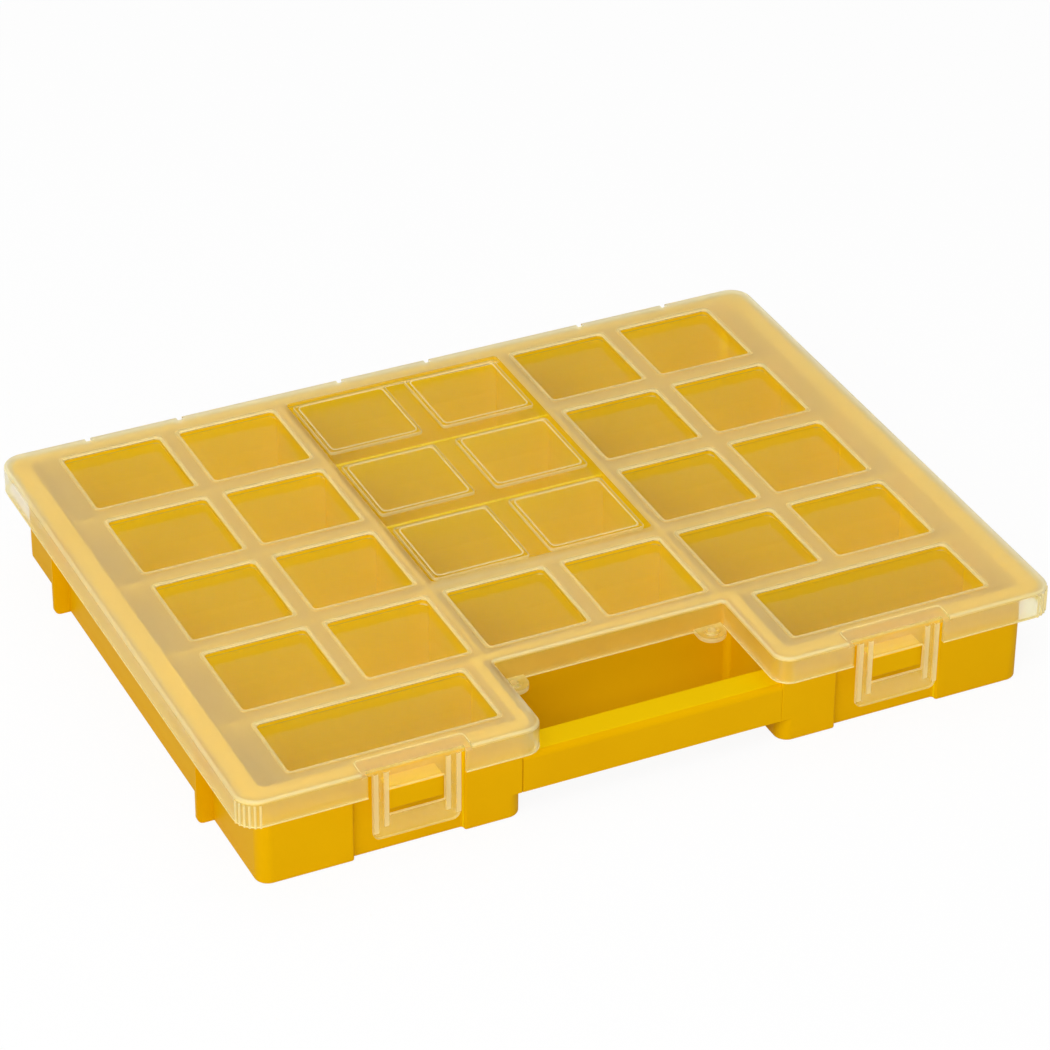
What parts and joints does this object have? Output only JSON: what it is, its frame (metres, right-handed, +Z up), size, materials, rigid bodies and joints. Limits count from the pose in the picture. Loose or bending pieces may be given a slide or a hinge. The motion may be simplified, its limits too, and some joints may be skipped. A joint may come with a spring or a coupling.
{
  "type": "compartment parts box",
  "caption": "Flat carrying case for small parts: yellow tray with fixed compartments and a carry handle, hinged translucent lid with viewing windows and front latches.",
  "frame": {"origin": "centre of the closed box's outline, on the surface that the tray stands on", "axes": "+X to the right along the hinge, -Y towards the carry handle and latches, +Z up"},
  "size_m": [0.37, 0.285, 0.048],
  "materials": {
    "tray_yellow": "moulded polypropylene, satin, warm yellow",
    "lid_translucent": "natural polypropylene, frosted with polished windows",
    "latch_translucent": "natural polypropylene, lightly frosted"
  },
  "bodies": {
    "tray": {"base_tray": "tray_yellow", "carry_handle": "tray_yellow", "column_wall_left": "tray_yellow", "column_wall_right": "tray_yellow", "row_wall_left_1": "tray_yellow", "row_wall_right_1": "tray_yellow", "row_wall_centre_1": "tray_yellow", "row_wall_left_2": "tray_yellow", "row_wall_right_2": "tray_yellow", "row_wall_centre_2": "tray_yellow", "row_wall_left_3": "tray_yellow", "row_wall_right_3": "tray_yellow", "row_wall_centre_3": "tray_yellow", "row_wall_left_4": "tray_yellow", "row_wall_right_4": "tray_yellow", "hinge_lugs_left": "tray_yellow", "hinge_rod_left": "tray_yellow", "hinge_lugs_centre": "tray_yellow", "hinge_rod_centre": "tray_yellow", "hinge_lugs_right": "tray_yellow", "hinge_rod_right": "tray_yellow", "latch_keeper_left": "tray_yellow", "latch_keeper_right": "tray_yellow"},
    "lid": {"lid": "lid_translucent", "eyelet_left": "lid_translucent", "eyelet_right": "lid_translucent"},
    "latch_left": {"latch_left": "latch_translucent"},
    "latch_right": {"latch_right": "latch_translucent"}
  },
  "joints": [
    {"name": "lid_hinge", "type": "hinge", "parent": "tray", "child": "lid", "pos_m": [0, 0.1402, 0.037], "axis": [-1, 0, 0], "range_deg": [0, 180]},
    {"name": "latch_left_hinge", "type": "hinge", "parent": "lid", "child": "latch_left", "pos_m": [-0.1098, -0.1404, 0.046], "axis": [-1, 0, 0], "range_deg": [0, 100]},
    {"name": "latch_right_hinge", "type": "hinge", "parent": "lid", "child": "latch_right", "pos_m": [0.1098, -0.1404, 0.046], "axis": [-1, 0, 0], "range_deg": [0, 100]}
  ]
}
